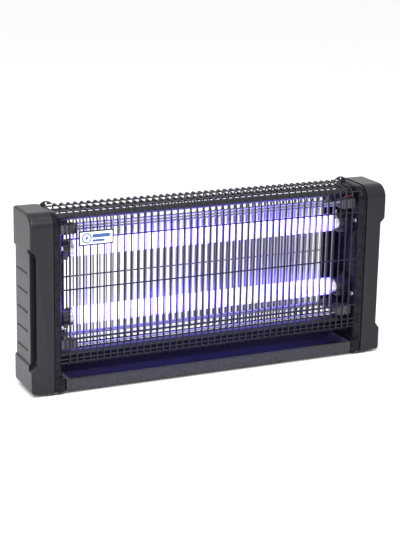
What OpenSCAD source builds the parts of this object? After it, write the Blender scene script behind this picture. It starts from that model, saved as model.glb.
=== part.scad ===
// Electric insect killer: two black end caps, a welded wire cage between them,
// two horizontal ultraviolet tubes, a high-voltage grid in front of and behind
// the tubes, and a collecting tray that pulls out at the front.
// Millimetres, +Z up. The origin is on the floor, midway between the four feet;
// X runs along the tubes and the front of the case faces -Y.

/* [Case] */
// Overall width across the two end caps
overall_width = 570; // [540:1:700]
// Height of an end cap above the feet
cap_height = 261; // [246:1:320]
// Depth of an end cap, front to back
body_depth = 74; // [72:0.5:92]
// Height of the rubber feet
foot_height = 4.5; // [3:0.1:6]
// Width of the outer cover of an end cap
shell_width = 33.3; // [31.5:0.1:42]
// Width of the inner panel of an end cap
panel_width = 14.2; // [12:0.1:18]
// Wall of the covers and panels
wall = 2.5; // [2:0.1:3]
// Shadow gap between cover and panel
seam_gap = 1.6; // [0.8:0.1:2.4]
// How far the panel outline stands inside the cover outline
panel_inset = 1.2; // [0.4:0.1:2]
// Radius of the top front corner of the caps
top_front_radius = 21; // [12:0.5:24]
// Radius of the top back corner of the caps
top_back_radius = 6; // [4:0.5:16]
// Radius of the bottom back corner of the caps
bottom_back_radius = 10; // [5:0.5:14]
// Rounding of the bottom outer edge of a cover
bottom_edge_radius = 6; // [3:0.5:8]
// Rounding of the outer front and top edges of a cover
cover_round = 4; // [2:0.5:5]
// Rounding of the inner front and top edges of a panel
panel_round = 9.5; // [6:0.5:10]

/* [Grip] */
// Height of the thick top part of a cover
bulge_top = 49.6; // [40:0.1:60]
// Height of the thick bottom part of a cover
bulge_bottom = 32.1; // [26:0.1:40]
// Depth of the recess in the outer side face
side_recess = 2.6; // [1:0.1:3]
// Width of the corner grip, along X
grip_width = 8.4; // [5:0.1:9]
// How far the fingers reach in behind the front lip of the grip
grip_undercut = 6; // [2:0.5:8]
// Thickness of the front lip of the grip
grip_lip = 3.6; // [3:0.1:6]
// Reach of the corner grip, along Y
grip_depth = 14; // [8:0.5:16]
// Number of ribs on the side face
rib_count = 5; // [3:1:6]
// Distance between ribs
rib_pitch = 28.25; // [20:0.25:29]
// Height of a rib on the face
rib_size = 1.6; // [1:0.1:2.5]

/* [Guard] */
// Diameter of the upright guard wires
guard_wire = 2.4; // [2:0.1:3]
// Diameter of the cross wires
cross_wire = 2.2; // [1.8:0.1:2.6]
// Number of upright wires in each half of the guard
guard_count = 45; // [31:2:47]
// How far the guard wires run inside the front and back of the caps
guard_inset = 2.5; // [2.2:0.1:4]
// How far the top run of the guard lies below the top of the caps
guard_drop = 1.2; // [1:0.1:3]
// Bend radius at the top of the front half
guard_top_bend = 18.5; // [12:0.5:20]
// Bend radius at the top of the back half
guard_back_bend = 8; // [7:0.5:14]
// Bend radius at the bottom of the guard
guard_bottom_bend = 14; // [9:0.5:15]
// Height of the bottom run of the guard above the floor
guard_bottom_z = 37.4; // [36:0.2:44]
// Space between the wire ends of the front and back halves, at the top
guard_top_gap = 4; // [3:0.5:8]
// Length of wire that turns in under the cage
guard_bottom_run = 5; // [2:0.5:9]
// How deep a weld sinks one wire into the other
weld = 0.3; // [0.2:0.05:0.5]
// Distance between the three long cross wires
cross_spacing = 73.1; // [60:0.1:80]

/* [Bars] */
// Diameter of the tie bars between the caps
bar_diameter = 10.5; // [9:0.5:12]
// Height of the lower tie bar above the floor
lower_bar_z = 49.5; // [46:0.5:54]
// Distance of the upper tie bar below the top of the caps
upper_bar_drop = 14; // [13:0.5:17]
// Radial clearance of wires and bars in the panel sockets
socket_clearance = 0.15; // [0.1:0.05:0.3]

/* [Lamps] */
// Diameter of the ultraviolet tubes
lamp_diameter = 26; // [24:0.5:28]
// Distance between the two tubes
lamp_spacing = 101.3; // [90:0.1:112]
// Room for a lamp holder between tube end and panel
lamp_end_room = 18.5; // [16:0.5:22]
// Height kept free at the bottom for the tray
tray_zone = 39.5; // [38:0.5:46]
// Radial clearance between rotor and lamp holder
rotor_clearance = 0.3; // [0.25:0.05:0.5]

/* [Grid] */
// Diameter of the grid wires
grid_wire = 1.6; // [1.2:0.1:2]
// Diameter of the grid bus rods
grid_rod = 3; // [2.4:0.1:3.4]
// Distance between the upper and lower bus rods
grid_height = 162; // [146:1:166]
// Distance of the live wires from the middle plane
grid_offset = 17; // [16:0.25:18]
// Distance between the live and the earthed wire planes
grid_split = 4; // [3.5:0.1:4.5]
// Free length between the last grid wire and the panel
grid_end_gap = 26.5; // [22:0.5:34]

/* [Tray] */
// Height of the tray front above the floor
tray_front_top = 22.3; // [21:0.1:25]
// Thickness of the tray walls
tray_wall = 1.6; // [1.2:0.1:2.2]
// Clearance between tray and ledges
tray_clearance = 0.4; // [0.3:0.05:0.8]
// Width of the ledge that carries the tray
ledge_width = 8.3; // [7:0.1:10]

/* [Fittings] */
// Width of the plate on the guard
label_width = 52.5; // [40:0.5:70]
// Height of the plate on the guard
label_height = 21.4; // [14:0.2:24]
// Hole in the hanging tabs
hang_hole = 3.4; // [3:0.1:3.6]
// Opening of the cord bush
gland_bore = 7.2; // [6:0.1:8]

/* [Hidden] */
$fn = 48;
half_w = overall_width / 2;
seam_x = half_w - shell_width;
inner_x = seam_x - panel_width;
front_y = -body_depth / 2;
back_y = body_depth / 2;
cap_top = foot_height + cap_height;
mid_z = foot_height + tray_zone + (cap_height - tray_zone) / 2;
lamp_top_z = mid_z + lamp_spacing / 2;
lamp_low_z = mid_z - lamp_spacing / 2;
lamp_end = inner_x - lamp_end_room;
lamp_r = lamp_diameter / 2;
recess_top = cap_top - bulge_top;
recess_low = foot_height + bulge_bottom;
low_slope = 10.5;
grip_x = half_w - grip_width;
rebate_y = front_y + grip_depth;
rib_top_z = recess_top - grip_width - 32;
pitch = 2 * inner_x / (guard_count + 1);
guard_y = back_y - guard_inset;
guard_top = cap_top - guard_drop;
weld_step = (guard_wire + cross_wire) / 2 - weld;
bend_y = guard_y - guard_bottom_bend;
bend_z = guard_bottom_z + guard_bottom_bend;
cross_y = guard_y - weld_step;
upper_bar_z = cap_top - upper_bar_drop;
grid_half = inner_x - grid_end_gap;
live_steps = floor(grid_half / pitch);
lead_r = 1.3;
lead_bend = 5;
lead_rise = 13;
earth_y = grid_offset + grid_split;
stack = (grid_wire + grid_rod) / 2 - weld;
cavity_x = half_w - side_recess - wall;
ledge_top = 19.6;
boss_r = 6;
boss_x = inner_x + 2.1;
lip_half = boss_x - boss_r - tray_clearance;
flange_half = lip_half - 0.1;
pan_half = inner_x - ledge_width - tray_clearance - 0.6;
tray_floor = foot_height + 1.7;
tray_rim = ledge_top + tray_clearance + tray_wall;
lip_depth = 3.4;
tab_x = inner_x + 2.5;
neck_x = inner_x + 2.8;
neck_width = 8;
tab_y = 26;
tab_thick = 2.5;
tab_r = 12;
tab_z = cap_top - 8.2;
hole_z = cap_top + 0.7;
wire_depth = 6;
gland_x = seam_x + 15;
gland_z = foot_height + 32;
rotor_r = 8.5;
rotor_len = 8.4;
pin_pitch = 12.7;
pin_r = 1.18;
collar_r = 21;
screw_y = 27;
screw_drop = 58;
screw_r = 1.5;
shell_colour = [0.16, 0.155, 0.175];
panel_colour = [0.15, 0.145, 0.17];
wire_colour = [0.09, 0.085, 0.11];
steel_colour = [0.72, 0.73, 0.76];

// Top bend radius of the front (m < 0) or the back half
function top_bend(m) = m < 0 ? guard_top_bend : guard_back_bend;

// Cross wires of one guard half: [distance from the middle plane, height]
function cross_points(m) = let (
    bend = top_bend(m),
    y = guard_y - bend,
    z = guard_top - bend,
    low = guard_bottom_bend - weld_step
) [
    [guard_top_gap / 2 + 1.6, guard_top - weld_step],
    [min(y, 26.5) - 3, guard_top - weld_step],
    [y + (bend - weld_step) * sin(45), z + (bend - weld_step) * cos(45)],
    [cross_y, mid_z - 1.4 + cross_spacing],
    [cross_y, mid_z - 1.4],
    [cross_y, mid_z - 1.4 - cross_spacing],
    [cross_y, bend_z + 6.4],
    [bend_y + low * cos(2), bend_z - low * sin(2)],
    [bend_y + low * cos(32), bend_z - low * sin(32)],
    [bend_y - 1, guard_bottom_z + weld_step]
];

// ---- drawing helpers ----
module along_x(x0, x1) {
    translate([x0, 0, 0]) rotate([90, 0, 90]) linear_extrude(x1 - x0) children();
}

module along_y(y0, y1) {
    translate([0, y1, 0]) rotate([90, 0, 0]) linear_extrude(y1 - y0) children();
}

module on_side(s) {
    if (s < 0) mirror([1, 0, 0]) children();
    else children();
}

module upside(k) {
    if (k < 0) mirror([0, 0, 1]) children();
    else children();
}

module block(a, b) {
    translate(a) cube(b - a);
}

module rod_x(x0, x1, y, z, r) {
    translate([x0, y, z]) rotate([0, 90, 0]) cylinder(h = x1 - x0, r = r);
}

module rod_y(x, y0, y1, z, r) {
    translate([x, y0, z]) rotate([-90, 0, 0]) cylinder(h = y1 - y0, r = r);
}

module rod_z(x, y, z0, z1, r) {
    translate([x, y, z0]) cylinder(h = z1 - z0, r = r);
}

// Waste outside one rounded corner: sy and sz point to the corner
module corner_waste(y, z, r, sy, sz) {
    difference() {
        translate([sy > 0 ? y - r : y - 1, sz > 0 ? z - r : z - 1]) square(r + 1);
        translate([y - sy * r, z - sz * r]) circle(r = r);
    }
}

// Side view of an end cap, in the Y-Z plane
module side_outline(inset, low) {
    top = cap_top - inset;
    difference() {
        translate([front_y + inset, foot_height + low]) square([body_depth - 2 * inset, top - foot_height - low]);
        corner_waste(front_y + inset, top, max(top_front_radius - inset, 0.6), -1, 1);
        corner_waste(back_y - inset, top, max(top_back_radius - inset, 0.6), 1, 1);
        corner_waste(back_y - inset, foot_height + low, max(bottom_back_radius - low, 0.6), 1, -1);
    }
}

// ---- end caps ----
// Waste outside a rounded edge that runs up the front of a cap and back along its top;
// side is -1 for an inner edge and 1 for an outer one
module edge_waste(x, inset, r, side) {
    translate([0, 0, foot_height - 1]) linear_extrude(cap_height - top_front_radius + 1)
        corner_waste(x, front_y + inset, r, side, -1);
    translate([0, front_y + top_front_radius, cap_top - top_front_radius])
        rotate([90, 0, 90]) rotate([0, 0, 90]) rotate_extrude(angle = 90)
            corner_waste(top_front_radius - inset, x, r, 1, side);
    along_y(front_y + top_front_radius, back_y + 1) corner_waste(x, cap_top - inset, r, side, 1);
}

// Cavity of the cover: shallower behind the corner grip
module shell_cavity() {
    intersection() {
        along_x(seam_x - 1, cavity_x) side_outline(wall, wall);
        union() {
            block([seam_x - 1, rebate_y + wall, 0], [cavity_x, back_y, cap_top + 5]);
            block([seam_x - 1, front_y, 0],
                [grip_x - grip_undercut - wall, rebate_y + wall + 1, cap_top + 5]);
        }
    }
}

module cover(s) {
    on_side(s) difference() {
        union() {
            difference() {
                along_x(seam_x, half_w) side_outline(0, 0);
                // shallow recess of the side face
                along_y(front_y - 1, back_y + 1) polygon([
                    [half_w + 1, recess_low + low_slope - side_recess - 1.5],
                    [half_w - side_recess, recess_low + low_slope],
                    [half_w - side_recess, recess_top - grip_width],
                    [half_w + 1, recess_top - grip_width + side_recess + 1]
                ]);
                // corner grip
                along_y(front_y - 1, rebate_y) polygon([
                    [half_w + 1, recess_low - low_slope / grip_width],
                    [grip_x, recess_low + low_slope],
                    [grip_x, recess_top - grip_width],
                    [half_w + 1, recess_top + 1]
                ]);
                // undercut behind the lip of the grip
                block([grip_x - grip_undercut, front_y + grip_lip, recess_low + low_slope + 4],
                    [half_w + 1, rebate_y, recess_top - grip_width - 4]);
                edge_waste(half_w, 0, cover_round, 1);
                // rounded bottom outer edge
                along_y(front_y - 1, back_y + 1) difference() {
                    translate([half_w - bottom_edge_radius, foot_height - 1])
                        square(bottom_edge_radius + 1);
                    translate([half_w - bottom_edge_radius, foot_height + bottom_edge_radius])
                        circle(r = bottom_edge_radius);
                }
            }
            for (i = [0 : rib_count - 1])
                block([half_w - side_recess - 0.5, rebate_y + 14, rib_top_z - i * rib_pitch],
                    [half_w - side_recess + 1.1, back_y - 5, rib_top_z - i * rib_pitch + rib_size]);
        }
        difference() {
            shell_cavity();
            // screw posts
            for (m = [-1, 1], k = [-1, 1])
                rod_x(seam_x - 2, cavity_x + 1, m * screw_y, mid_z + k * screw_drop, screw_r + 2.2);
        }
        for (m = [-1, 1], k = [-1, 1])
            rod_x(seam_x - 2, seam_x + 14, m * screw_y, mid_z + k * screw_drop, screw_r + 0.03);
        if (s < 0) rod_y(gland_x, back_y - 2 * wall, back_y + 1, gland_z, gland_bore / 2 + 2.45);
    }
}

// Hollow of a panel: narrower behind the rounded edges
module panel_hollow() {
    intersection() {
        union() {
            along_x(inner_x + wall, inner_x + panel_round + 0.5)
                side_outline(2 * wall + 2.4, 2 * wall + 2.4);
            along_x(inner_x + panel_round, seam_x + 5)
                side_outline(2 * wall + 0.4, 2 * wall + 0.4);
        }
        block([inner_x, front_y + 2 * wall + 0.2, foot_height + 2 * wall], [seam_x + 6, back_y, cap_top]);
    }
}

module inner_panel(s) {
    on_side(s) difference() {
        union() {
            difference() {
                along_x(inner_x, seam_x - seam_gap) side_outline(panel_inset, 0);
                edge_waste(inner_x, panel_inset, panel_round, -1);
            }
            along_x(seam_x - seam_gap - 1, seam_x + 4) side_outline(wall + 0.2, wall + 0.2);
            // ledge for the tray, with a stop at the back
            block([inner_x - ledge_width, front_y + 8, ledge_top - 2.2], [inner_x + 1, back_y - 3, ledge_top]);
            block([inner_x - 5, back_y - 3.4, ledge_top - 2.2], [inner_x + 1, back_y - 1.4, ledge_top + 4.4]);
            // collars round the lamp holders
            for (z = [lamp_top_z, lamp_low_z])
                difference() {
                    rod_x(inner_x - 6, inner_x + 0.5, 0, z, collar_r);
                    rod_x(inner_x - 7, inner_x, 0, z, collar_r - 2.2);
                }
            // post beside the tray front
            rod_z(boss_x, front_y + 5, foot_height, ledge_top + 1.6, boss_r);
            translate([boss_x, front_y + 5, ledge_top + 1.6]) intersection() {
                sphere(r = boss_r);
                translate([-boss_r - 1, -boss_r - 1, -0.5]) cube([2 * boss_r + 2, 2 * boss_r + 2, 3.5]);
            }
        }
        panel_hollow();
        // holes for the screws that hold the cover
        for (m = [-1, 1], k = [-1, 1])
            rod_x(inner_x - 1, inner_x + wall + 1, m * screw_y, mid_z + k * screw_drop, screw_r + 0.15);
        // sockets of the cross wires and tie bars
        for (m = [-1, 1], p = cross_points(m))
            rod_x(inner_x - 1, inner_x + wire_depth + 0.5, m * p[0], p[1],
                cross_wire / 2 + socket_clearance);
        for (z = [upper_bar_z, lower_bar_z])
            rod_x(inner_x - 1, inner_x + wall + 1, 0, z, bar_diameter / 2 + socket_clearance);
        // slot for the neck of the hanging tab
        block([neck_x - 0.15, tab_y - 0.15, cap_top - 12],
            [neck_x + neck_width + 0.15, tab_y + tab_thick + 0.15, cap_top]);
        // lead holes and tray latch windows
        for (k = [-1, 1], m = [-1, 1])
            rod_x(inner_x - 1, inner_x + wall + 1, m * grid_offset, mid_z + k * (grid_height / 2 + lead_rise),
                lead_r + socket_clearance);
        block([inner_x + 3.4, front_y - 1, ledge_top + 5.2], [inner_x + 9, front_y + 3, ledge_top + 9.2]);
    }
}

module cover_left() {
    color(shell_colour) cover(-1);
}

module cover_right() {
    color(shell_colour) cover(1);
}

module panel_left() {
    color(panel_colour) inner_panel(-1);
}

module panel_right() {
    color(panel_colour) inner_panel(1);
}

module feet() {
    color([0.05, 0.05, 0.05])
        for (sx = [-1, 1], y = [front_y + 8.4, back_y - 19])
            translate([sx * (seam_x - 0.5), y, 0]) {
                translate([-11, -7, 0.8]) cube([22, 14, foot_height - 0.8 + 0.2]);
                translate([-10.2, -6.2, 0]) cube([20.4, 12.4, 1]);
            }
}

// ---- guard ----
// One upright wire, bent in over the top and under the bottom; m is -1 in front
module guard_upright(x, m) {
    r = guard_wire / 2;
    bend = top_bend(m);
    translate([x, 0, 0]) rotate([0, 0, m < 0 ? 180 : 0]) {
        rod_y(0, guard_top_gap / 2, guard_y - bend, guard_top, r);
        translate([0, guard_y - bend, guard_top - bend]) rotate([90, 0, 90])
            rotate_extrude(angle = 90) translate([bend, 0]) circle(r = r);
        rod_z(0, guard_y, bend_z, guard_top - bend, r);
        translate([0, bend_y, bend_z]) rotate([90, 0, 90]) rotate([0, 0, -90])
            rotate_extrude(angle = 90) translate([guard_bottom_bend, 0]) circle(r = r);
        rod_y(0, bend_y - guard_bottom_run, bend_y, guard_bottom_z, r);
    }
}

module guard_half(m) {
    color(wire_colour)
        for (i = [1 : guard_count])
            guard_upright(-inner_x + i * pitch, m);
}

module guard_cross(m) {
    color(wire_colour)
        for (p = cross_points(m))
            rod_x(-inner_x - wire_depth, inner_x + wire_depth, m * p[0], p[1], cross_wire / 2);
}

module guard_front_wires() {
    guard_half(-1);
}

module guard_back_wires() {
    guard_half(1);
}

module guard_front_cross() {
    guard_cross(-1);
}

module guard_back_cross() {
    guard_cross(1);
}

module tie_bars() {
    color([0.2, 0.19, 0.2])
        for (z = [upper_bar_z, lower_bar_z])
            rod_x(-inner_x - wall - 0.5, inner_x + wall + 0.5, 0, z, bar_diameter / 2);
}

// ---- high-voltage grid ----
module grid_net(m, y, steps, shift, over) {
    reach = grid_height / 2 + over;
    for (i = [-steps : steps - (shift > 0 ? 1 : 0)])
        rod_z((i + shift) * pitch, m * y, mid_z - reach - 2, mid_z + reach + 2, grid_wire / 2);
    for (k = [-1, 1])
        rod_x(-grid_half - 6, grid_half + 6, m * (y + (over > 0 ? stack : -stack)), mid_z + k * reach,
            grid_rod / 2);
}

module grid_front_live() {
    color(steel_colour) grid_net(-1, grid_offset, live_steps, 0, 0);
}

module grid_front_earth() {
    color(steel_colour) grid_net(-1, earth_y, live_steps, 0.5, 6);
}

module grid_back_live() {
    color(steel_colour) grid_net(1, grid_offset, live_steps, 0, 0);
}

module grid_back_earth() {
    color(steel_colour) grid_net(1, earth_y, live_steps, 0.5, 6);
}

module insulators() {
    color([0.1, 0.09, 0.12])
        for (s = [-1, 1], m = [-1, 1], k = [-1, 1]) {
            y = m * (grid_offset + 1.5);
            z = mid_z + k * (grid_height / 2 + 3);
            on_side(s) difference() {
                union() {
                    block([grid_half + 2, y - 6.8, z - 6.5], [inner_x, y + 6.8, z + 6.5]);
                    for (x = [grid_half + 6, grid_half + 12, grid_half + 18])
                        block([x, y - 7.8, z - 7.5], [x + 2.4, y + 7.8, z + 7.5]);
                }
                rod_x(grid_half, grid_half + 6.2, m * (grid_offset - stack), z - k * 3,
                    grid_rod / 2 + 0.05);
                rod_x(grid_half, grid_half + 6.2, m * (earth_y + stack), z + k * 3,
                    grid_rod / 2 + 0.05);
            }
        }
}

// Short insulated lead from the right-hand panel into a grid insulator
module lead(m, k) {
    reach = grid_height / 2 + lead_rise;
    x0 = inner_x - 11.3;
    translate([0, m * grid_offset, mid_z]) upside(k) {
        rod_x(x0, inner_x + wall + 1.5, 0, reach, lead_r);
        translate([x0, 0, reach - lead_bend]) rotate([90, 0, 0]) rotate([0, 0, 90])
            rotate_extrude(angle = 90) translate([lead_bend, 0]) circle(r = lead_r);
        rod_z(x0 - lead_bend, 0, reach - 11, reach - lead_bend, lead_r);
    }
}

module leads_red() {
    color([0.55, 0.09, 0.08])
        for (m = [-1, 1]) lead(m, 1);
}

module leads_black() {
    color([0.07, 0.07, 0.08])
        for (m = [-1, 1]) lead(m, -1);
}

// ---- lamps ----
module lamp_glass(z) {
    color([0.9, 0.88, 1]) difference() {
        union() {
            rod_x(-lamp_end + 7.2, lamp_end - 7.2, 0, z, lamp_r);
            rod_x(-lamp_end + 1.4, lamp_end - 1.4, 0, z, lamp_r - 0.8);
        }
        rod_x(-lamp_end + 2.4, lamp_end - 2.4, 0, z, lamp_r - 1.6);
    }
}

module lamp_caps(z) {
    color([0.78, 0.78, 0.8])
        for (s = [-1, 1]) on_side(s) difference() {
            rod_x(lamp_end - 7.2, lamp_end, 0, z, lamp_r - 0.05);
            rod_x(lamp_end - 8, lamp_end - 1.4, 0, z, lamp_r - 0.8);
        }
}

module lamp_pins(z) {
    color([0.8, 0.7, 0.45])
        for (s = [-1, 1], k = [-1, 1])
            on_side(s) rod_x(lamp_end, lamp_end + 7, 0, z + k * pin_pitch / 2, pin_r);
}

module lamp_rotors(z) {
    color([0.9, 0.9, 0.9])
        for (s = [-1, 1]) on_side(s) difference() {
            rod_x(lamp_end + 0.4, lamp_end + rotor_len, 0, z, rotor_r);
            for (k = [-1, 1])
                rod_x(lamp_end, lamp_end + 7.2, 0, z + k * pin_pitch / 2, pin_r);
        }
}

module upper_glass() {
    lamp_glass(lamp_top_z);
}

module upper_caps() {
    lamp_caps(lamp_top_z);
}

module upper_pins() {
    lamp_pins(lamp_top_z);
}

module upper_rotors() {
    lamp_rotors(lamp_top_z);
}

module lower_glass() {
    lamp_glass(lamp_low_z);
}

module lower_caps() {
    lamp_caps(lamp_low_z);
}

module lower_pins() {
    lamp_pins(lamp_low_z);
}

module lower_rotors() {
    lamp_rotors(lamp_low_z);
}

module lamp_holders() {
    color([0.1, 0.1, 0.12])
        for (z = [lamp_top_z, lamp_low_z], s = [-1, 1])
            on_side(s) difference() {
                union() {
                    rod_x(lamp_end + 1, inner_x, 0, z, 11.5);
                    block([lamp_end + 1, -8, z - 15], [inner_x, 8, z]);
                    rod_x(inner_x - 4, inner_x, 0, z, 16.5);
                }
                rod_x(lamp_end, lamp_end + rotor_len + 1, 0, z, rotor_r + rotor_clearance);
            }
}

// ---- tray ----
module tray_pan() {
    color([0.12, 0.1, 0.2]) difference() {
        union() {
            block([-pan_half, front_y + lip_depth - 0.4, tray_floor], [pan_half, back_y - 4, tray_rim]);
            block([-flange_half, front_y + lip_depth - 0.4, tray_rim - tray_wall],
                [flange_half, back_y - 4, tray_rim]);
        }
        block([-pan_half + tray_wall, front_y + lip_depth - 2, tray_floor + tray_wall],
            [pan_half - tray_wall, back_y - 4 - tray_wall, tray_rim + 1]);
    }
}

module tray_front() {
    color([0.2, 0.19, 0.22]) along_x(-lip_half, lip_half) {
        translate([front_y, foot_height + 0.9])
            square([lip_depth, tray_front_top - lip_depth / 2 - foot_height - 0.9]);
        translate([front_y + lip_depth / 2, tray_front_top - lip_depth / 2]) circle(r = lip_depth / 2);
    }
}

// ---- fittings ----
module label_plate() {
    x1 = -inner_x + 23;
    z1 = cap_top - 38.6 - label_height / 2;
    r = 3;
    color([0.95, 0.95, 0.95]) along_y(-guard_y - guard_wire / 2 - 1.2, -guard_y - guard_wire / 2 + 0.2) {
        translate([x1 + r, z1]) square([label_width - 2 * r, label_height]);
        translate([x1, z1 + r]) square([label_width, label_height - 2 * r]);
        for (x = [x1 + r, x1 + label_width - r], z = [z1 + r, z1 + label_height - r])
            translate([x, z]) circle(r = r);
    }
}

module hanging_tabs() {
    color(wire_colour)
        for (s = [-1, 1]) on_side(s) difference() {
            union() {
                rod_y(tab_x, tab_y, tab_y + tab_thick, tab_z, tab_r);
                block([neck_x, tab_y, cap_top - 22], [neck_x + neck_width, tab_y + tab_thick, tab_z]);
            }
            block([inner_x - 20, tab_y - 1, cap_top - 30],
                [neck_x, tab_y + tab_thick + 1, cap_top - panel_inset + 0.15]);
            block([neck_x + neck_width, tab_y - 1, cap_top - 30],
                [seam_x + 10, tab_y + tab_thick + 1, cap_top + 0.3]);
            rod_y(tab_x, tab_y - 1, tab_y + tab_thick + 1, hole_z, hang_hole / 2);
        }
}

// Low wall between the panels, behind the tray
module back_rail() {
    color(wire_colour) {
        block([-inner_x, back_y - 3.2, ledge_top + 4.6], [inner_x, back_y - 1.8, guard_bottom_z + 0.6]);
        block([-inner_x + 5.3, back_y - 3.2, ledge_top + 2.4],
            [inner_x - 5.3, back_y - 1.8, ledge_top + 5]);
    }
}

module panel_screws() {
    color([0.5, 0.5, 0.52])
        for (s = [-1, 1], m = [-1, 1], z = [mid_z + screw_drop, mid_z - screw_drop])
            on_side(s) difference() {
                union() {
                    rod_x(inner_x - 2.2, inner_x, m * screw_y, z, 3.4);
                    rod_x(inner_x - 0.5, seam_x + 12, m * screw_y, z, screw_r);
                }
                block([inner_x - 3, m * screw_y - 2, z - 0.5], [inner_x - 1.1, m * screw_y + 2, z + 0.5]);
                block([inner_x - 3, m * screw_y - 0.5, z - 2], [inner_x - 1.1, m * screw_y + 0.5, z + 2]);
            }
}

module cord_bush() {
    color([0.06, 0.06, 0.06]) translate([-gland_x, 0, gland_z]) rotate([-90, 0, 0]) difference() {
        union() {
            translate([0, 0, back_y - 3 * wall]) cylinder(h = 3 * wall + 1, r = gland_bore / 2 + 2.4);
            translate([0, 0, back_y]) cylinder(h = 1, r = gland_bore / 2 + 4.4);
            translate([0, 0, back_y - wall - 2.4]) cylinder(h = 2.4, r = gland_bore / 2 + 4);
        }
        translate([0, 0, back_y - 30]) cylinder(h = 40, r = gland_bore / 2);
    }
}

// Black strips that close the gap between the back grid and the panels
module end_screens() {
    color(panel_colour)
        for (s = [-1, 1]) on_side(s) difference() {
            block([grid_half + 2, earth_y + 6.4, mid_z - grid_height / 2 - 8],
                [inner_x, earth_y + 8, mid_z + grid_height / 2 + 8]);
            for (k = [-1, 1])
                block([inner_x - 3.4, earth_y + 6, mid_z + k * screw_drop - 4.5],
                    [inner_x + 1, earth_y + 9, mid_z + k * screw_drop + 4.5]);
        }
}

// ---- electrics inside the end caps ----
module ballasts() {
    color([0.75, 0.76, 0.74])
        for (s = [-1, 1]) on_side(s) {
            block([cavity_x - 26, -18, mid_z - 62], [cavity_x, 21, mid_z + 72]);
            block([cavity_x - 3, -14, mid_z - 72], [cavity_x, 20, mid_z + 81]);
        }
}

module grid_transformer() {
    color([0.7, 0.5, 0.2]) {
        block([cavity_x - 30, -14, foot_height + 14], [cavity_x, 26, foot_height + 22]);
        block([cavity_x - 30, -14, foot_height + 54], [cavity_x, 26, foot_height + 62]);
        block([cavity_x - 26, -8, foot_height + 20], [cavity_x - 4, 20, foot_height + 56]);
        block([cavity_x - 30, -14, foot_height + 14], [cavity_x - 22, 26, foot_height + 62]);
    }
}

module starters() {
    color([0.9, 0.9, 0.88])
        for (y = [-4, 20]) rod_z(cavity_x - 14, y, mid_z + 89, mid_z + 104, 9.2);
}

module starter_sockets() {
    color([0.85, 0.85, 0.83])
        for (y = [-4, 20]) difference() {
            translate([cavity_x - 26, y - 11, mid_z + 82]) cube([26, 22, 8]);
            rod_z(cavity_x - 14, y, mid_z + 88.9, mid_z + 91, 9.3);
        }
}

module terminal_block() {
    color([0.9, 0.9, 0.85]) difference() {
        block([-cavity_x, -12, foot_height + 60], [-cavity_x + 14, 22, foot_height + 72]);
        for (y = [-6 : 8 : 18])
            rod_x(-cavity_x + 8, -cavity_x + 15, y, foot_height + 66, 2.4);
    }
}

module multiplier_board() {
    color([0.1, 0.35, 0.16])
        block([-cavity_x + 7.8, -14, foot_height + 16], [-cavity_x + 9.4, 24, foot_height + 52]);
}

module board_parts() {
    color([0.12, 0.25, 0.6]) {
        for (y = [-8, 18], z = [foot_height + 20, foot_height + 48])
            rod_x(-cavity_x, -cavity_x + 7.8, y, z, 2);
        for (y = [-8, 2, 12])
            block([-cavity_x + 9.4, y - 3.5, foot_height + 28], [-cavity_x + 15, y + 3.5, foot_height + 42]);
    }
}

cover_left();
cover_right();
panel_left();
panel_right();
feet();
guard_front_wires();
guard_back_wires();
guard_front_cross();
guard_back_cross();
tie_bars();
grid_front_live();
grid_front_earth();
grid_back_live();
grid_back_earth();
insulators();
leads_red();
leads_black();
upper_glass();
upper_caps();
upper_pins();
upper_rotors();
lower_glass();
lower_caps();
lower_pins();
lower_rotors();
lamp_holders();
tray_pan();
tray_front();
label_plate();
hanging_tabs();
panel_screws();
cord_bush();
ballasts();
grid_transformer();
starters();
starter_sockets();
terminal_block();
multiplier_board();
board_parts();
back_rail();
end_screens();
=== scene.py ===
import math

import bmesh
import bpy
from mathutils import Matrix, Vector, noise


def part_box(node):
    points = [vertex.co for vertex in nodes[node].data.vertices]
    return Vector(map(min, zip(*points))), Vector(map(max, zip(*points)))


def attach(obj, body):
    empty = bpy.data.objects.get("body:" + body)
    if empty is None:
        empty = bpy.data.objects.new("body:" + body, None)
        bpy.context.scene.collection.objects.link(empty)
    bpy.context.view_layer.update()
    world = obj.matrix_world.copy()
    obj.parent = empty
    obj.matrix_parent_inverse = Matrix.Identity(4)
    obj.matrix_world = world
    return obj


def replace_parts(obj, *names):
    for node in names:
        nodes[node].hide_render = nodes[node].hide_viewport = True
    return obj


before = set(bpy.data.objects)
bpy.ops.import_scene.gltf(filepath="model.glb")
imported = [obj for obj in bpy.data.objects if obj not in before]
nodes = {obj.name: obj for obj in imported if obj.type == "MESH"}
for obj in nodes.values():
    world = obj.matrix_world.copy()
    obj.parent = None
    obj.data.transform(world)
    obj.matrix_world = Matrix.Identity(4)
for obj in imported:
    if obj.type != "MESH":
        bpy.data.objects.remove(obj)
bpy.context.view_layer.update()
MM = 0.001


# ---------------------------------------------------------------------------
# End-cap covers: two hollow shells of black ABS, injection moulded with a fine
# spark-eroded grain. Each is pulled onto its inner panel by four screws from
# inside the cage, so no fastener shows on it.

def shader_group(name, inputs, outputs):
    """An empty shader node group; inputs are (name, type, default), outputs are (name, type)."""
    tree = bpy.data.node_groups.new(name, "ShaderNodeTree")
    for label, kind, default in inputs:
        socket = tree.interface.new_socket(label, in_out="INPUT", socket_type="NodeSocket" + kind)
        socket.default_value = default
    for label, kind in outputs:
        tree.interface.new_socket(label, in_out="OUTPUT", socket_type="NodeSocket" + kind)
    return tree, tree.nodes.new("NodeGroupInput"), tree.nodes.new("NodeGroupOutput")


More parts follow.
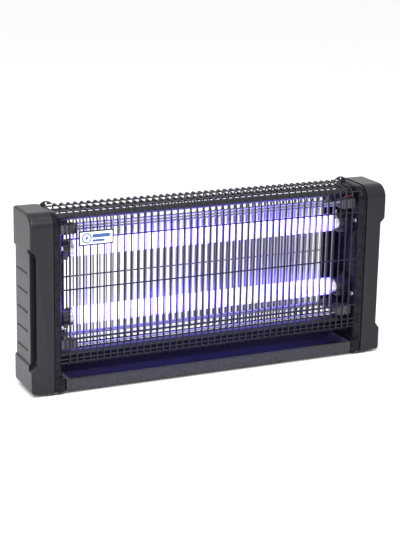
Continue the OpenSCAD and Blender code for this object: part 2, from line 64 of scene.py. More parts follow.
def noise_field(tree, scale, detail, roughness=0.5, stretch=(1, 1, 1)):
    """Noise in object space; scale is features per metre, stretch squeezes it along an axis."""
    place = tree.nodes.new("ShaderNodeTexCoord")
    squeeze = tree.nodes.new("ShaderNodeMapping")
    squeeze.inputs["Scale"].default_value = stretch
    field = tree.nodes.new("ShaderNodeTexNoise")
    field.inputs["Scale"].default_value = scale
    field.inputs["Detail"].default_value = detail
    field.inputs["Roughness"].default_value = roughness
    tree.links.new(place.outputs["Object"], squeeze.inputs["Vector"])
    tree.links.new(squeeze.outputs["Vector"], field.inputs["Vector"])
    return field.outputs["Fac"]


def maths(tree, operation, a, b=0.0, clamp=False):
    """One step of arithmetic; a and b are sockets or numbers."""
    node = tree.nodes.new("ShaderNodeMath")
    node.operation = operation
    node.use_clamp = clamp
    for slot, value in enumerate((a, b)):
        if isinstance(value, (int, float)):
            node.inputs[slot].default_value = value
        else:
            tree.links.new(value, node.inputs[slot])
    return node.outputs[0]


def remap(tree, value, low, high, to_low, to_high):
    """Stretches the range low..high of a socket to to_low..to_high, clamped at both ends."""
    node = tree.nodes.new("ShaderNodeMapRange")
    for label, number in (("From Min", low), ("From Max", high), ("To Min", to_low), ("To Max", to_high)):
        node.inputs[label].default_value = number
    tree.links.new(value, node.inputs["Value"])
    return node.outputs["Result"]


def blend_colour(tree, factor, a, b, mode="MIX"):
    """Mixes two colours; each argument is a socket, a number or a colour tuple."""
    node = tree.nodes.new("ShaderNodeMix")
    node.data_type = "RGBA"
    node.blend_type = mode
    for socket, value in ((node.inputs[0], factor), (node.inputs[6], a), (node.inputs[7], b)):
        if isinstance(value, (int, float)):
            socket.default_value = value
        elif isinstance(value, tuple):
            socket.default_value = (*value, 1)
        else:
            tree.links.new(value, socket)
    return node.outputs[2]


def build_mottle():
    """Broad unevenness of a moulded or painted surface, in colour and in gloss."""
    tree, given, out = shader_group(
        "mottle",
        [("Colour", "Color", (0.5, 0.5, 0.5, 1)), ("Roughness", "Float", 0.5), ("Amount", "Float", 0.1)],
        [("Colour", "Color"), ("Roughness", "Float")])
    broad = noise_field(tree, 28, 4, 0.6)
    swing = maths(tree, "SUBTRACT", broad, 0.5)
    lift = maths(tree, "MULTIPLY", swing, given.outputs["Amount"])
    factor = maths(tree, "ADD", maths(tree, "MULTIPLY", lift, 3.0), 1.0)
    grey = tree.nodes.new("ShaderNodeCombineColor")
    for channel in grey.inputs:
        tree.links.new(factor, channel)
    tree.links.new(blend_colour(tree, 1.0, given.outputs["Colour"], grey.outputs[0], "MULTIPLY"),
                   out.inputs["Colour"])
    tree.links.new(maths(tree, "ADD", given.outputs["Roughness"], lift, clamp=True),
                   out.inputs["Roughness"])
    return tree


def build_edge_rub():
    """Edges rubbed paler and smoother by handling, broken up so that no line is even."""
    tree, given, out = shader_group(
        "edge_rub",
        [("Colour", "Color", (0.5, 0.5, 0.5, 1)), ("Roughness", "Float", 0.5),
         ("Rubbed", "Color", (0.6, 0.6, 0.6, 1)), ("Amount", "Float", 0.5)],
        [("Colour", "Color"), ("Roughness", "Float")])
    shape = tree.nodes.new("ShaderNodeNewGeometry").outputs["Pointiness"]
    convex = remap(tree, shape, 0.52, 0.60, 0.0, 1.0)
    broken = remap(tree, noise_field(tree, 160, 5, 0.65), 0.38, 0.62, 0.0, 1.0)
    worn = maths(tree, "MULTIPLY", convex, broken)
    mask = maths(tree, "MULTIPLY", worn, given.outputs["Amount"], clamp=True)
    tree.links.new(blend_colour(tree, mask, given.outputs["Colour"], given.outputs["Rubbed"]),
                   out.inputs["Colour"])
    tree.links.new(maths(tree, "SUBTRACT", given.outputs["Roughness"],
                         maths(tree, "MULTIPLY", mask, 0.12), clamp=True), out.inputs["Roughness"])
    return tree


def build_dust():
    """Fine dust that settles on the faces that look up."""
    tree, given, out = shader_group(
        "settled_dust",
        [("Colour", "Color", (0.5, 0.5, 0.5, 1)), ("Roughness", "Float", 0.5), ("Amount", "Float", 0.1)],
        [("Colour", "Color"), ("Roughness", "Float")])
    facing = tree.nodes.new("ShaderNodeSeparateXYZ")
    tree.links.new(tree.nodes.new("ShaderNodeNewGeometry").outputs["Normal"], facing.inputs[0])
    up = remap(tree, facing.outputs["Z"], 0.45, 0.98, 0.0, 1.0)
    specks = remap(tree, noise_field(tree, 700, 6, 0.7), 0.40, 0.70, 0.15, 1.0)
    settled = maths(tree, "MULTIPLY", up, specks)
    mask = maths(tree, "MULTIPLY", settled, given.outputs["Amount"], clamp=True)
    dust_grey = (0.42, 0.40, 0.38)
    tree.links.new(blend_colour(tree, mask, given.outputs["Colour"], dust_grey), out.inputs["Colour"])
    tree.links.new(maths(tree, "ADD", given.outputs["Roughness"],
                         maths(tree, "MULTIPLY", mask, 0.6), clamp=True), out.inputs["Roughness"])
    return tree


MOTTLE, EDGE_RUB, DUST = build_mottle(), build_edge_rub(), build_dust()


class Finish:
    """One material: a Principled surface fed by the shared groups and a bump."""

    def __init__(self, name, **plain):
        self.material = bpy.data.materials.new(name)
        self.material.use_nodes = True
        self.tree = self.material.node_tree
        self.surface = self.tree.nodes["Principled BSDF"]
        for label, value in plain.items():
            socket = self.surface.inputs[label.replace("_", " ")]
            socket.default_value = (*value, 1) if isinstance(value, tuple) and len(value) == 3 else value
        self.last_effect = None
        self.last_bump = None

    def effect(self, group, **given):
        """Places a shared group after the ones before it and feeds its colour and roughness on."""
        node = self.tree.nodes.new("ShaderNodeGroup")
        node.node_tree = group
        for label, value in given.items():
            node.inputs[label].default_value = (*value, 1) if isinstance(value, tuple) else value
        if self.last_effect:
            for label in ("Colour", "Roughness"):
                self.tree.links.new(self.last_effect.outputs[label], node.inputs[label])
        self.last_effect = node
        self.tree.links.new(node.outputs["Colour"], self.surface.inputs["Base Color"])
        self.tree.links.new(node.outputs["Roughness"], self.surface.inputs["Roughness"])

    def bump(self, height, distance):
        """Adds relief from a height socket, over whatever relief is there already."""
        node = self.tree.nodes.new("ShaderNodeBump")
        node.inputs["Distance"].default_value = distance
        node.inputs["Strength"].default_value = 1.0
        self.tree.links.new(height, node.inputs["Height"])
        if self.last_bump:
            self.tree.links.new(self.last_bump.outputs["Normal"], node.inputs["Normal"])
        self.tree.links.new(node.outputs["Normal"], self.surface.inputs["Normal"])
        self.last_bump = node

    def grain(self, size, distance, detail=2, stretch=(1, 1, 1)):
        """Fine bump of features of that size, in metres."""
        self.bump(noise_field(self.tree, 1 / size, detail, 0.6, stretch), distance)


def moulded_black(name, colour, roughness, shine):
    """Black ABS from a spark-eroded mould."""
    finish = Finish(name, Specular_IOR_Level=shine)
    finish.effect(MOTTLE, Colour=colour, Roughness=roughness, Amount=0.03)
    finish.effect(EDGE_RUB, Rubbed=(0.034, 0.033, 0.040), Amount=0.30)
    finish.effect(DUST, Amount=0.012)
    finish.grain(0.7 * MM, 0.04 * MM, 3)
    finish.grain(11 * MM, 0.012 * MM)
    return finish.material


def soften(piece, radius, segments=3):
    """Moulded pieces have no knife edges: weld the CAD facets, then round every edge a little."""
    weld = piece.modifiers.new("weld", "WELD")
    weld.merge_threshold = 0.01 * MM
    planar = piece.modifiers.new("planar", "DECIMATE")
    planar.decimate_type = "DISSOLVE"
    planar.angle_limit = math.radians(0.6)
    round_off = piece.modifiers.new("round_off", "BEVEL")
    round_off.width = radius
    round_off.segments = segments
    round_off.limit_method = "ANGLE"
    round_off.angle_limit = math.radians(28)
    round_off.harden_normals = False
    piece.data.polygons.foreach_set("use_smooth", [True] * len(piece.data.polygons))
    even_shading = piece.modifiers.new("weighted", "WEIGHTED_NORMAL")
    even_shading.keep_sharp = True


def dress(piece, material):
    """Gives a piece one material in place of those it has."""
    piece.data.materials.clear()
    piece.data.materials.append(material)


CASE_BLACK = moulded_black("case_black", (0.0090, 0.0085, 0.0125), 0.31, 0.27)
for name in ("cover_left", "cover_right"):
    dress(nodes[name], CASE_BLACK)
    soften(nodes[name], 1.5 * MM, 4)


# ---------------------------------------------------------------------------
# Inner panels: the black moulded walls that the cage, the bars and the lamp
# holders start from, with the tray's ledge and the round post at the front.
# They share the covers' plastic in a smoother finish, its colour and shine
# painted darker as shade inside the cage. Two narrow strips of it close the gap
# between the back grid and the panels.

# Darker colour and lower shine than the covers: painted shade inside the cage.
PANEL_PAINTED_SHADE = moulded_black("panel_black", (0.0030, 0.0028, 0.0062), 0.27, 0.12)
for name in ("panel_left", "panel_right", "end_screens"):
    dress(nodes[name], PANEL_PAINTED_SHADE)
    soften(nodes[name], 0.5 * MM)


# ---------------------------------------------------------------------------
# Feet: four pads of soft black rubber, cemented under the caps and panels.
# Their edges are scuffed grey where they have been pushed about.

rubber = Finish("foot_rubber", Specular_IOR_Level=0.3)
rubber.effect(MOTTLE, Colour=(0.020, 0.020, 0.021), Roughness=0.82, Amount=0.12)
rubber.effect(EDGE_RUB, Rubbed=(0.10, 0.10, 0.10), Amount=0.6)
rubber.grain(1.1 * MM, 0.12 * MM, 4)
dress(nodes["feet"], rubber.material)
soften(nodes["feet"], 0.7 * MM)


# ---------------------------------------------------------------------------
# Guard: 2.4 mm steel wires bent over a former, spot welded to the cross wires
# and dipped in black enamel. The enamel pools round the welds, which show as
# small beads at every crossing. A low rail of sheet steel in the same enamel
# closes the back behind the tray.

def enamel(name, colour, roughness, orange_peel):
    """Dipped enamel on steel: a thin gloss coat with a slow ripple and a little dust."""
    finish = Finish(name, Specular_IOR_Level=0.3, Coat_Weight=0.12, Coat_Roughness=0.18)
    finish.effect(MOTTLE, Colour=colour, Roughness=roughness, Amount=0.06)
    finish.effect(DUST, Amount=0.015)
    finish.grain(3.0 * MM, orange_peel, 3)
    return finish.material


WIRE_BLACK = enamel("wire_enamel", (0.005, 0.005, 0.010), 0.36, 0.06 * MM)
for name in ("guard_front_wires", "guard_back_wires", "guard_front_cross", "guard_back_cross"):
    dress(nodes[name], WIRE_BLACK)
dress(nodes["back_rail"], WIRE_BLACK)
soften(nodes["back_rail"], 0.4 * MM)


def mesh_piece(name, shape, material, body, smooth=True):
    """Turns a bmesh into a named piece that rides on a body."""
    data = bpy.data.meshes.new(name)
    bmesh.ops.recalc_face_normals(shape, faces=shape.faces)
    shape.to_mesh(data)
    shape.free()
    piece = bpy.data.objects.new(name, data)
    bpy.context.scene.collection.objects.link(piece)
    data.polygons.foreach_set("use_smooth", [smooth] * len(data.polygons))
    dress(piece, material)
    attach(piece, body)
    return piece


guard_lo, guard_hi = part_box("guard_front_wires")
WIRE_R = 1.2 * MM
WIRE_COUNT = 45
FRONT_TOP_BEND = 18.5 * MM
BACK_TOP_BEND = 8.0 * MM
LOW_BEND = 14.0 * MM
BEAD_R = 1.0 * MM
BEAD_SHAPE = (1.75, 1.30, 1.30)
wire_first = guard_lo.x + WIRE_R
wire_pitch = (guard_hi.x - guard_lo.x - 2 * WIRE_R) / (WIRE_COUNT - 1)


def wires_along_x(node, width):
    """Centres (y, z) of the round wires of a node that run along X, each no wider than width."""
    points = [v.co.yz for v in nodes[node].data.vertices]
    centres = []
    while points:
        near = [p for p in points if (p - points[0]).length < width]
        points = [p for p in points if (p - near[0]).length >= width]
        centres.append(Vector([(min(p[k] for p in near) + max(p[k] for p in near)) / 2 for k in (0, 1)]))
    return centres


def weld_beads(name, node, side):
    """One bead of pooled enamel where each upright crosses each cross wire."""
    top_bend = FRONT_TOP_BEND if side < 0 else BACK_TOP_BEND
    outer = guard_hi.z - WIRE_R - top_bend
    inner = guard_lo.z + WIRE_R + LOW_BEND
    shape = bmesh.new()
    for centre in wires_along_x(node, 2.6 * MM):
        bend = top_bend if centre.y > (outer + inner) / 2 else LOW_BEND
        reach = -guard_lo.y - WIRE_R - bend
        core = Vector((side * min(abs(centre.x), reach), min(max(centre.y, inner), outer)))
        spot = centre + (centre - core).normalized() * BEAD_R
        for i in range(WIRE_COUNT):
            place = Matrix.Translation((wire_first + i * wire_pitch, spot.x, spot.y))
            wobble = 1 + 0.16 * noise.noise(Vector((i * 3.1, spot.x * 900, spot.y * 700)))
            size = Matrix.Diagonal((BEAD_SHAPE[0] * wobble, *BEAD_SHAPE[1:], 1))
            bmesh.ops.create_icosphere(shape, subdivisions=2, radius=BEAD_R, matrix=place @ size)
    return mesh_piece(name, shape, WIRE_BLACK, "housing")


weld_beads("weld_beads_front", "guard_front_cross", -1)
weld_beads("weld_beads_back", "guard_back_cross", 1)


# ---------------------------------------------------------------------------
# Tie bars: two drawn steel bars that hold the panels apart, sprayed satin black
# over a faint lengthwise drawing grain.

bar_paint = Finish("bar_paint", Specular_IOR_Level=0.5)
bar_paint.effect(MOTTLE, Colour=(0.020, 0.019, 0.022), Roughness=0.36, Amount=0.06)
bar_paint.effect(DUST, Amount=0.04)
bar_paint.grain(1.2 * MM, 0.05 * MM, 3, stretch=(0.05, 1, 1))
dress(nodes["tie_bars"], bar_paint.material)


# ---------------------------------------------------------------------------
# Grid: bright galvanised steel wires welded to bus rods, a live net and an
# earthed net on each side of the tubes. It is bare metal, so that it sparks.

grid_steel = Finish("grid_steel", Metallic=1.0)
grid_steel.effect(MOTTLE, Colour=(0.34, 0.33, 0.40), Roughness=0.30, Amount=0.10)
grid_steel.grain(0.8 * MM, 0.03 * MM, 3, stretch=(1, 1, 0.08))
for name in ("grid_front_live", "grid_front_earth", "grid_back_live", "grid_back_earth"):
    dress(nodes[name], grid_steel.material)


# ---------------------------------------------------------------------------
# Insulators: ribbed blocks of glossy black thermoset that grip the ends of the
# bus rods and keep the live net away from the panels.

glaze = Finish("insulator_black", Specular_IOR_Level=0.5, Coat_Weight=0.3, Coat_Roughness=0.12)
glaze.effect(MOTTLE, Colour=(0.020, 0.017, 0.030), Roughness=0.26, Amount=0.05)
glaze.effect(EDGE_RUB, Rubbed=(0.08, 0.07, 0.11), Amount=0.5)
glaze.grain(2.2 * MM, 0.05 * MM, 2)
dress(nodes["insulators"], glaze.material)
soften(nodes["insulators"], 0.55 * MM)


# ---------------------------------------------------------------------------
# Leads: silicone-sleeved cables from the right-hand panel to the grid, red at
# the top and black at the bottom. The sleeve is matt with a fine skin.

def silicone(name, colour):
    finish = Finish(name, Specular_IOR_Level=0.35, Sheen_Weight=0.15)
    finish.effect(MOTTLE, Colour=colour, Roughness=0.62, Amount=0.10)
    finish.grain(0.5 * MM, 0.03 * MM, 2)
    return finish.material


dress(nodes["leads_red"], silicone("sleeve_red", (0.12, 0.010, 0.010)))
dress(nodes["leads_black"], silicone("sleeve_black", (0.018, 0.018, 0.020)))


# ---------------------------------------------------------------------------
# Tubes: two T8 lamps of phosphor-coated glass, lit. The coat is thinner and
# greyer next to the cathodes. Spun aluminium caps are cemented over the ends,
# each with a brown phenolic disc that carries two brass pins.

def revolve(shape, profile, centre, steps):
    """Adds a surface of revolution about an X-parallel axis; profile is [(x, radius), ...]."""
    rings = []
    for x, radius in profile:
        ring = [shape.verts.new((x, centre.x + radius * math.cos(math.tau * k / steps),
                                 centre.y + radius * math.sin(math.tau * k / steps)))
                for k in range(steps)] if radius > 0 else [shape.verts.new((x, centre.x, centre.y))]
        rings.append(ring)
    for a, b in zip(rings, rings[1:]):
        for k in range(steps):
            corners = [a[k % len(a)], a[(k + 1) % len(a)], b[(k + 1) % len(b)], b[k % len(b)]]
            unique = list(dict.fromkeys(corners))
            if len(unique) > 2:
                shape.faces.new(unique)


TUBE_GLOW = 15.0
GLOW_MIDDLE = (0.17, 0.135, 1.0)
GLOW_END = (0.065, 0.05, 0.30)
GLOW_FADES_FROM, GLOW_FADES_TO = 185.0 * MM, 210.5 * MM


def lit_glass():
    """Phosphor-coated glass, lit from inside and dimmer next to the cathodes."""
    finish = Finish("lit_tube", Specular_IOR_Level=0.5, Coat_Weight=0.6, Coat_Roughness=0.03,
                    Emission_Strength=TUBE_GLOW)
    tree, surface = finish.tree, finish.surface
    finish.effect(MOTTLE, Colour=(0.86, 0.85, 0.90), Roughness=0.22, Amount=0.03)
    place = tree.nodes.new("ShaderNodeSeparateXYZ")
    tree.links.new(tree.nodes.new("ShaderNodeTexCoord").outputs["Object"], place.inputs[0])
    from_middle = maths(tree, "ABSOLUTE", place.outputs["X"])
    ends = remap(tree, from_middle, GLOW_FADES_FROM, GLOW_FADES_TO, 0.0, 1.0)
    swirl = remap(tree, noise_field(tree, 60, 3), 0.3, 0.7, 0.9, 1.0)
    along = blend_colour(tree, ends, GLOW_MIDDLE, GLOW_END)
    grey = tree.nodes.new("ShaderNodeCombineColor")
    for channel in grey.inputs:
        tree.links.new(swirl, channel)
    tree.links.new(blend_colour(tree, 1.0, along, grey.outputs[0], "MULTIPLY"),
                   surface.inputs["Emission Color"])
    return finish.material


LIT_TUBE = lit_glass()
spun_cap = Finish("tube_cap_aluminium", Metallic=1.0)
spun_cap.effect(MOTTLE, Colour=(0.74, 0.74, 0.77), Roughness=0.34, Amount=0.10)
spun_cap.effect(EDGE_RUB, Rubbed=(0.92, 0.92, 0.93), Amount=0.6)
spun_cap.grain(0.6 * MM, 0.03 * MM, 3, stretch=(1, 0.1, 0.1))
phenolic = Finish("phenolic_brown", Specular_IOR_Level=0.4)
phenolic.effect(MOTTLE, Colour=(0.115, 0.055, 0.030), Roughness=0.55, Amount=0.14)
phenolic.grain(0.9 * MM, 0.04 * MM, 4)
brass = Finish("pin_brass", Metallic=1.0)
brass.effect(MOTTLE, Colour=(0.74, 0.55, 0.25), Roughness=0.26, Amount=0.12)
brass.grain(0.4 * MM, 0.02 * MM, 2, stretch=(0.1, 1, 1))

CAP_LENGTH = 7.2 * MM
GLASS_NECK = [(3.0, -1.3), (1.0, -0.9), (-0.6, -0.35), (-2.4, 0.0)]
CAP_SECTION = [(0.2, -0.55), (0.0, -0.25), (0.3, 0.0), (1.4, 0.0), (1.8, -0.22), (2.2, 0.0),
               (5.6, 0.0), (6.4, -0.15), (7.0, -0.6), (7.2, -1.3), (7.2, -3.4), (6.8, -3.8)]
for lamp in ("upper", "lower"):
    low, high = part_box(lamp + "_caps")
    axis = ((low + high) / 2).yz
    end, radius = high.x, (high.z - low.z) / 2
    glass = bmesh.new()
    neck = end - CAP_LENGTH
    revolve(glass, [*[(-neck - x * MM, radius + r * MM) for x, r in GLASS_NECK],
                    *[(x * neck / 8, radius) for x in range(-7, 8)],
                    *[(neck + x * MM, radius + r * MM) for x, r in reversed(GLASS_NECK)]], axis, 72)
    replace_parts(mesh_piece(lamp + "_lit_tube", glass, LIT_TUBE, lamp + "_lamp"),
                lamp + "_glass")
    caps, discs = bmesh.new(), bmesh.new()
    for side in (-1, 1):
        revolve(caps, [(side * (neck + x * MM), radius + r * MM) for x, r in CAP_SECTION], axis, 64)
        disc = [(6.7, -3.6), (7.15, -3.9), (7.15, -9.0), (7.0, -radius / MM)]
        revolve(discs, [(side * (neck + x * MM), max(0.0, radius + r * MM)) for x, r in disc], axis, 48)
    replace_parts(mesh_piece(lamp + "_spun_caps", caps, spun_cap.material, lamp + "_lamp"),
                lamp + "_caps")
    mesh_piece(lamp + "_pin_discs", discs, phenolic.material, lamp + "_lamp")
    dress(nodes[lamp + "_pins"], brass.material)


# ---------------------------------------------------------------------------
# Lamp holders: black polycarbonate sockets set in the collars of the panels,
# each with a white slotted rotor that turns with the tube's pins.

holder_white = Finish("holder_white", Specular_IOR_Level=0.5, Subsurface_Weight=0.15,
                      Subsurface_Scale=0.004)
holder_white.effect(MOTTLE, Colour=(0.76, 0.75, 0.76), Roughness=0.36, Amount=0.04)
holder_white.effect(EDGE_RUB, Rubbed=(0.88, 0.88, 0.86), Amount=0.4)
holder_white.grain(0.8 * MM, 0.03 * MM, 3)
holder_black = Finish("holder_black", Specular_IOR_Level=0.5)
holder_black.effect(MOTTLE, Colour=(0.018, 0.016, 0.024), Roughness=0.32, Amount=0.04)
holder_black.effect(EDGE_RUB, Rubbed=(0.07, 0.065, 0.08), Amount=0.4)
holder_black.grain(0.8 * MM, 0.03 * MM, 3)
dress(nodes["lamp_holders"], holder_black.material)
for name in ("upper_rotors", "lower_rotors"):
    dress(nodes[name], holder_white.material)
for name in ("lamp_holders", "upper_rotors", "lower_rotors"):
    soften(nodes[name], 0.45 * MM)


# ---------------------------------------------------------------------------
# Tray: a shallow pan of black ABS that slides on the panels' ledges, with a
# rolled front edge to pull. The pan has a film of dust, a coarser grain and a
# blue tint that is painted violet light from the tubes; the rolled edge is smoother and darker.

tray_black = Finish("tray_black", Specular_IOR_Level=0.35)
# The blue in this colour is painted violet light from the tubes, over black ABS.
tray_black.effect(MOTTLE, Colour=(0.016, 0.014, 0.040), Roughness=0.34, Amount=0.04)
tray_black.effect(EDGE_RUB, Rubbed=(0.09, 0.087, 0.10), Amount=0.5)
tray_black.effect(DUST, Amount=0.02)
tray_black.grain(0.9 * MM, 0.04 * MM, 3)
tray_black.grain(14 * MM, 0.04 * MM)
tray_lip = Finish("tray_lip_black", Specular_IOR_Level=0.5)
tray_lip.effect(MOTTLE, Colour=(0.009, 0.0085, 0.011), Roughness=0.20, Amount=0.03)
tray_lip.effect(EDGE_RUB, Rubbed=(0.036, 0.035, 0.040), Amount=0.4)
tray_lip.effect(DUST, Amount=0.01)
tray_lip.grain(0.9 * MM, 0.03 * MM, 3)
dress(nodes["tray_pan"], tray_black.material)
dress(nodes["tray_front"], tray_lip.material)
for name in ("tray_pan", "tray_front"):
    soften(nodes[name], 0.5 * MM)


# ---------------------------------------------------------------------------
# Badge: a small white enamelled plate with a raised black rim, clipped to the
# front wires. It carries a plain lightning mark in a ring and two short bars.

def enamel_plate(name, colour, roughness):
    finish = Finish(name, Specular_IOR_Level=0.6, Coat_Weight=0.6, Coat_Roughness=0.06)
    finish.effect(MOTTLE, Colour=colour, Roughness=roughness, Amount=0.03)
    finish.grain(1.6 * MM, 0.02 * MM, 2)
    return finish.material


BADGE_WHITE = enamel_plate("badge_white", (0.86, 0.88, 0.87), 0.25)
BADGE_BLUE = enamel_plate("badge_blue", (0.004, 0.055, 0.24), 0.28)
CORNER = 3.0 * MM


def rounded_loop(width, height, corner, steps=8):
    """Points of a rounded rectangle about the origin, anticlockwise."""
    points = []
    for sx, sz, start in ((1, 1, 0), (-1, 1, 90), (-1, -1, 180), (1, -1, 270)):
        for k in range(steps + 1):
            turn = math.radians(start + 90 * k / steps)
            points.append((sx * (width / 2 - corner) + corner * math.cos(turn),
                           sz * (height / 2 - corner) + corner * math.sin(turn)))
    return points


def stacked(shape, loops, cap_first=True, cap_last=True):
    """Joins loops of (x, y, z) points of equal length into a skin."""
    rows = [[shape.verts.new(p) for p in loop] for loop in loops]
    count = len(rows[0])
    for a, b in zip(rows, rows[1:]):
        for k in range(count):
            shape.faces.new((a[k], a[(k + 1) % count], b[(k + 1) % count], b[k]))
    if cap_first:
        shape.faces.new(rows[0][::-1])
    if cap_last:
        shape.faces.new(rows[-1])


badge_lo, badge_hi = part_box("label_plate")
badge_mid = (badge_lo + badge_hi) / 2
badge_w, badge_h = badge_hi.x - badge_lo.x, badge_hi.z - badge_lo.z


def badge_loop(inset, depth):
    """The badge's outline, moved in and back by so many millimetres."""
    corner = CORNER - min(inset * MM, 2 * MM)
    return [(badge_mid.x + x, badge_lo.y + depth * MM, badge_mid.z + z)
            for x, z in rounded_loop(badge_w - 2 * inset * MM, badge_h - 2 * inset * MM, corner)]


plate = bmesh.new()
stacked(plate, [badge_loop(1.8, 0.30), badge_loop(1.8, 1.2)])
badge = mesh_piece("badge_plate", plate, BADGE_WHITE, "housing", smooth=False)
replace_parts(badge, "label_plate")
RIM_SECTION = [(2.05, 0.35), (1.95, 0.10), (1.6, 0.0), (0.3, 0.0), (0.05, 0.15), (0.0, 0.45),
               (0.0, 1.15), (0.2, 1.35), (1.8, 1.35), (1.9, 1.25)]
rim = bmesh.new()
stacked(rim, [badge_loop(inset, depth) for inset, depth in RIM_SECTION], cap_first=False)
mesh_piece("badge_rim", rim, WIRE_BLACK, "housing")


def flat_mark(shape, outline, hole=None):
    """A thin raised shape on the badge's face; outlines are in millimetres about its middle."""
    front, back = 0.20, 0.32
    if hole:
        section = ((outline, back), (outline, front), (hole, front), (hole, back))
    else:
        section = ((outline, front), (outline, back))
    loops = [[(badge_mid.x + x * MM, badge_lo.y + depth * MM, badge_mid.z + z * MM) for x, z in points]
             for points, depth in section]
    stacked(shape, loops, cap_first=not hole, cap_last=not hole)


def circle(x, z, radius, steps=48):
    return [(x + radius * math.cos(math.tau * k / steps), z + radius * math.sin(math.tau * k / steps))
            for k in range(steps)]


mark = bmesh.new()
flat_mark(mark, circle(-14.2, 0, 7.4), circle(-14.2, 0, 5.6))
flat_mark(mark, [(-12.6, 4.8), (-17.9, -0.9), (-14.9, -0.9), (-16.0, -4.9), (-10.6, 1.1), (-13.5, 1.1)])
flat_mark(mark, [(x + 7.3, z + 2.6) for x, z in rounded_loop(27, 5.4, 2.4)])
flat_mark(mark, [(x + 3.2, z - 4.2) for x, z in rounded_loop(18.6, 3.4, 1.5)])
mesh_piece("badge_mark", mark, BADGE_BLUE, "housing", smooth=False)


# ---------------------------------------------------------------------------
# Hanging tabs: 2.5 mm sheet steel in black enamel. Each is held by a neck that
# goes down through a slot in the inner panel, and has a punched hole for a hook
# or a chain.

dress(nodes["hanging_tabs"], enamel("tab_enamel", (0.022, 0.021, 0.026), 0.38, 0.05 * MM))
soften(nodes["hanging_tabs"], 0.35 * MM)


# ---------------------------------------------------------------------------
# Panel screws and cord bush: zinc-plated pan-head screws driven from inside
# the cage, and a soft black bush where the mains lead enters at the back.

zinc = Finish("screw_zinc", Metallic=1.0)
zinc.effect(MOTTLE, Colour=(0.50, 0.50, 0.53), Roughness=0.32, Amount=0.18)
zinc.grain(0.5 * MM, 0.03 * MM, 3)
dress(nodes["panel_screws"], zinc.material)
soften(nodes["panel_screws"], 0.2 * MM)
dress(nodes["cord_bush"], rubber.material)
soften(nodes["cord_bush"], 0.4 * MM)


# ---------------------------------------------------------------------------
# Electrics inside the caps: varnished ballast stacks, a taped grid transformer,
# two starters in their sockets, a terminal block and a small multiplier board.

def striped(name, colour, roughness, pitch, axis, depth, **plain):
    """A stack of sheets or turns: fine ridges across one axis."""
    finish = Finish(name, **plain)
    finish.effect(MOTTLE, Colour=colour, Roughness=roughness, Amount=0.14)
    finish.effect(EDGE_RUB, Rubbed=tuple(min(1, 1.5 * c) for c in colour), Amount=0.5)
    place = finish.tree.nodes.new("ShaderNodeTexCoord")
    ridges = finish.tree.nodes.new("ShaderNodeTexWave")
    ridges.bands_direction = axis
    ridges.inputs["Scale"].default_value = 0.314 / pitch
    ridges.inputs["Distortion"].default_value = 0.4
    finish.tree.links.new(place.outputs["Object"], ridges.inputs["Vector"])
    finish.bump(ridges.outputs["Fac"], depth)
    return finish.material


dress(nodes["ballasts"],
      striped("ballast_stack", (0.36, 0.36, 0.34), 0.42, 0.8 * MM, "X", 0.1 * MM, Metallic=0.6))
dress(nodes["grid_transformer"],
      striped("winding_tape", (0.42, 0.25, 0.05), 0.48, 3.0 * MM, "Z", 0.15 * MM))
board = Finish("board_green", Specular_IOR_Level=0.5)
board.effect(MOTTLE, Colour=(0.020, 0.12, 0.045), Roughness=0.35, Amount=0.2)
board.grain(1.4 * MM, 0.04 * MM, 2)
dress(nodes["multiplier_board"], board.material)
component = Finish("component_blue", Specular_IOR_Level=0.5, Coat_Weight=0.3)
component.effect(MOTTLE, Colour=(0.03, 0.10, 0.34), Roughness=0.30, Amount=0.12)
component.grain(1.8 * MM, 0.05 * MM, 2)
dress(nodes["board_parts"], component.material)
for name in ("starters", "starter_sockets", "terminal_block"):
    dress(nodes[name], holder_white.material)
for name in ("ballasts", "grid_transformer", "multiplier_board", "board_parts", "starters",
             "starter_sockets", "terminal_block"):
    soften(nodes[name], 0.5 * MM)


# ---------------------------------------------------------------------------
# Studio: a pale floor that runs out of sight, a white surround, one broad soft
# box overhead, two narrow ones for the lines of light on the black plastic, and
# the camera. The violet glow comes from the lit tubes themselves.

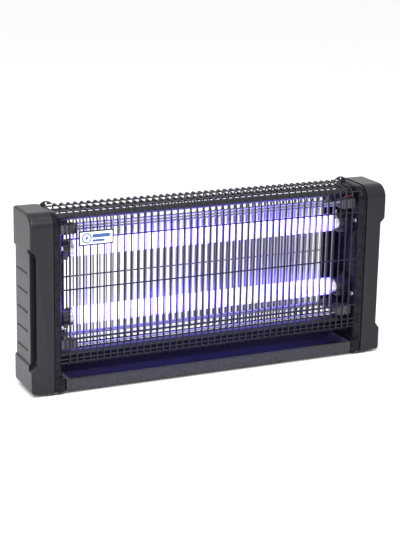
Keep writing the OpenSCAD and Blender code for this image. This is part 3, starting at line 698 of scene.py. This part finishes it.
def plain_floor(half):
    shape = bmesh.new()
    bmesh.ops.create_grid(shape, x_segments=1, y_segments=1, size=half)
    data = bpy.data.meshes.new("studio_floor")
    shape.to_mesh(data)
    shape.free()
    floor = bpy.data.objects.new("studio_floor", data)
    bpy.context.scene.collection.objects.link(floor)
    paper = Finish("floor_paper", Specular_IOR_Level=0.1)
    paper.effect(MOTTLE, Colour=(0.92, 0.92, 0.92), Roughness=0.9, Amount=0.004)
    dress(floor, paper.material)


def soft_box(name, place, aim, width, height, power):
    light = bpy.data.lights.new(name, "AREA")
    light.shape = "RECTANGLE"
    light.size, light.size_y = width, height
    light.energy = power
    lamp = bpy.data.objects.new(name, light)
    lamp.location = place
    lamp.rotation_mode = "QUATERNION"
    lamp.rotation_quaternion = (Vector(aim) - Vector(place)).to_track_quat("-Z", "Y")
    bpy.context.scene.collection.objects.link(lamp)


plain_floor(half=14)
world = bpy.data.worlds.new("studio")
bpy.context.scene.world = world
world.use_nodes = True
world.node_tree.nodes["Background"].inputs["Color"].default_value = (1.0, 1.0, 1.0, 1)
world.node_tree.nodes["Background"].inputs["Strength"].default_value = 1.03
soft_box("key_overhead", (-0.3, -0.4, 1.9), (0, 0, 0.1), 1.2, 0.8, 12)
soft_box("strip_front", (-0.5, -1.3, 1.5), (0, 0, 0.13), 1.5, 0.14, 24)
soft_box("strip_left", (-1.7, -0.9, 0.8), (0, 0, 0.13), 0.12, 1.2, 9)
bpy.context.scene.view_settings.view_transform = "Standard"

CAMERA_PLACE = Vector((-0.94746, -1.97679, 0.76584))
CAMERA_TARGET = Vector((-0.00940, 0.0, 0.14792))
CAMERA_ROLL = math.radians(1.145)
camera = bpy.data.objects.new("camera", bpy.data.cameras.new("camera"))
camera.data.sensor_width = 36
camera.data.lens = 101.39
forward = (CAMERA_TARGET - CAMERA_PLACE).normalized()
sideways = forward.cross(Vector((0, 0, 1))).normalized()
upward = sideways.cross(forward)
camera_x = sideways * math.cos(CAMERA_ROLL) + upward * math.sin(CAMERA_ROLL)
camera_y = -sideways * math.sin(CAMERA_ROLL) + upward * math.cos(CAMERA_ROLL)
camera.matrix_world = Matrix.Translation(CAMERA_PLACE) @ Matrix(
    (camera_x, camera_y, -forward)).transposed().to_4x4()
camera.data.clip_end = 60
bpy.context.scene.collection.objects.link(camera)
bpy.context.scene.camera = camera
